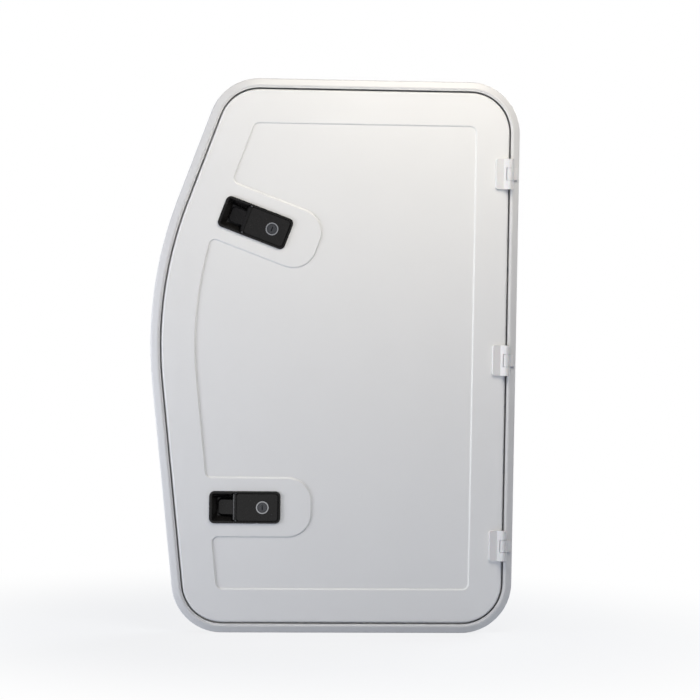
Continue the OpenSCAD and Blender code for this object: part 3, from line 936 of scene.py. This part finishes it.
def soft_sky(strength):
    """A soft cool light all round, with a white backdrop for the camera, reflections and glass."""
    world = bpy.data.worlds.new("soft_sky")
    world.use_nodes = True
    tree = world.node_tree
    tree.nodes.clear()
    # The backdrop stands behind the door. Reflections of the room in front of it are darker.
    ray = add(tree, "ShaderNodeTexCoord")
    heading = add(tree, "ShaderNodeSeparateXYZ", {"Vector": ray.outputs["Object"]})
    backdrop = add(
        tree,
        "ShaderNodeMapRange",
        {
            "Value": heading.outputs["Y"],
            "From Min": -BACKDROP_EDGE,
            "From Max": BACKDROP_EDGE,
            "To Min": ROOM_LIGHT,
            "To Max": 1.0,
        },
        interpolation_type="SMOOTHSTEP",
    )
    path = add(tree, "ShaderNodeLightPath")
    bent = add(
        tree,
        "ShaderNodeMath",
        {0: path.outputs["Is Glossy Ray"], 1: path.outputs["Is Transmission Ray"]},
        operation="MAXIMUM",
    )
    reflected = add(
        tree,
        "ShaderNodeMath",
        {0: bent.outputs["Value"], 1: backdrop.outputs["Result"]},
        operation="MULTIPLY",
    )
    seen = add(
        tree,
        "ShaderNodeMath",
        {0: reflected.outputs["Value"], 1: path.outputs["Is Camera Ray"]},
        operation="MAXIMUM",
    )
    blue = (*linear(SKY_BLUE), 1)
    fill = add(tree, "ShaderNodeBackground", {"Color": blue, "Strength": strength})
    white = add(tree, "ShaderNodeBackground", {"Color": (1, 1, 1, 1), "Strength": 1.0})
    mix = add(
        tree,
        "ShaderNodeMixShader",
        {0: seen.outputs["Value"], 1: fill.outputs["Background"], 2: white.outputs["Background"]},
    )
    out = add(tree, "ShaderNodeOutputWorld")
    tree.links.new(mix.outputs["Shader"], out.inputs["Surface"])
    bpy.context.scene.world = world


def lamp(name, setting, power, target):
    """A square soft box, set by its place, size and colour, facing a target."""
    place, size, code = setting
    bpy.ops.object.select_all(action="DESELECT")
    bpy.ops.object.light_add(type="AREA", location=place)
    made = bpy.context.object
    made.name = name
    made.data.shape = "SQUARE"
    made.data.size = size
    made.data.energy = power
    made.data.color = linear(code)
    aim = Vector(target) - Vector(place)
    made.rotation_euler = aim.to_track_quat("-Z", "Y").to_euler()


class DOOR_OT_stage(bpy.types.Operator):
    """Set the floor, the light and the camera"""

    bl_idname = "door.stage"
    bl_label = "Set the Stage"

    def execute(self, context):
        stage = context.scene.door_stage
        low, high = CAD_BOX
        bpy.ops.object.select_all(action="DESELECT")
        under = (0, 0, low.z - stage.floor_gap)
        bpy.ops.mesh.primitive_plane_add(size=FLOOR_SIZE, location=under)
        floor = context.object
        floor.name = "floor"
        bpy.ops.object.transform_apply(location=True)
        floor.data.materials.append(floor_finish())
        soft_sky(stage.sky)
        middle = (low + high) / 2
        lamp("key", KEY, stage.key_power, middle)
        lamp("side", SIDE, stage.side_power, middle)
        # This one lights the right side of the door and what faces the inside of the caravan.
        lamp("back", BACK, stage.back_power, middle)

        right, up, forward = camera_axes()
        bpy.ops.object.camera_add(location=CAMERA_PLACE)
        camera = context.object
        camera.name = "camera"
        camera.data.sensor_width = SENSOR_WIDTH
        camera.data.lens = stage.lens
        camera.data.clip_start = CLIP_START
        camera.data.clip_end = CLIP_END
        camera.rotation_mode = "QUATERNION"
        camera.rotation_quaternion = Matrix((right, up, -forward)).transposed().to_quaternion()
        context.scene.camera = camera
        context.scene.view_settings.view_transform = "Standard"
        return {"FINISHED"}


STEPS = (
    DOOR_OT_frame_finish,
    DOOR_OT_leaf_finish,
    DOOR_OT_seal_finish,
    DOOR_OT_hinge_finish,
    DOOR_OT_lock_finish,
    DOOR_OT_gap_lips,
    DOOR_OT_frame_screws,
    DOOR_OT_clamp_screws,
    DOOR_OT_stage,
)


class DOOR_PT_panel(bpy.types.Panel):
    """Sizes, colours and steps of the access door"""

    bl_idname = "DOOR_PT_panel"
    bl_label = "Access Door"
    bl_space_type = "VIEW_3D"
    bl_region_type = "UI"
    bl_category = "Access Door"

    def draw(self, context):
        for group in GROUPS:
            settings = getattr(context.scene, group)
            box = self.layout.box()
            for key in settings.__annotations__:
                box.prop(settings, key)
        for step in STEPS:
            self.layout.operator(step.bl_idname)


GROUPS = {
    "door_colours": DoorColours,
    "door_lips": DoorLips,
    "door_screws": DoorScrews,
    "door_stage": DoorStage,
}


def register():
    for each in (*GROUPS.values(), *STEPS, DOOR_PT_panel):
        bpy.utils.register_class(each)
    for key, group in GROUPS.items():
        setattr(bpy.types.Scene, key, PointerProperty(type=group))


def unregister():
    for key in GROUPS:
        delattr(bpy.types.Scene, key)
    for each in (DOOR_PT_panel, *reversed(STEPS), *GROUPS.values()):
        bpy.utils.unregister_class(each)


def run(step):
    """Call an operator by its name, and stop if it doesn't finish."""
    group, name = step.bl_idname.split(".")
    if getattr(getattr(bpy.ops, group), name)() != {"FINISHED"}:
        raise RuntimeError(step.bl_label + " did not finish")


def main():
    register()
    for step in STEPS:
        run(step)


if __name__ == "__main__":
    main()
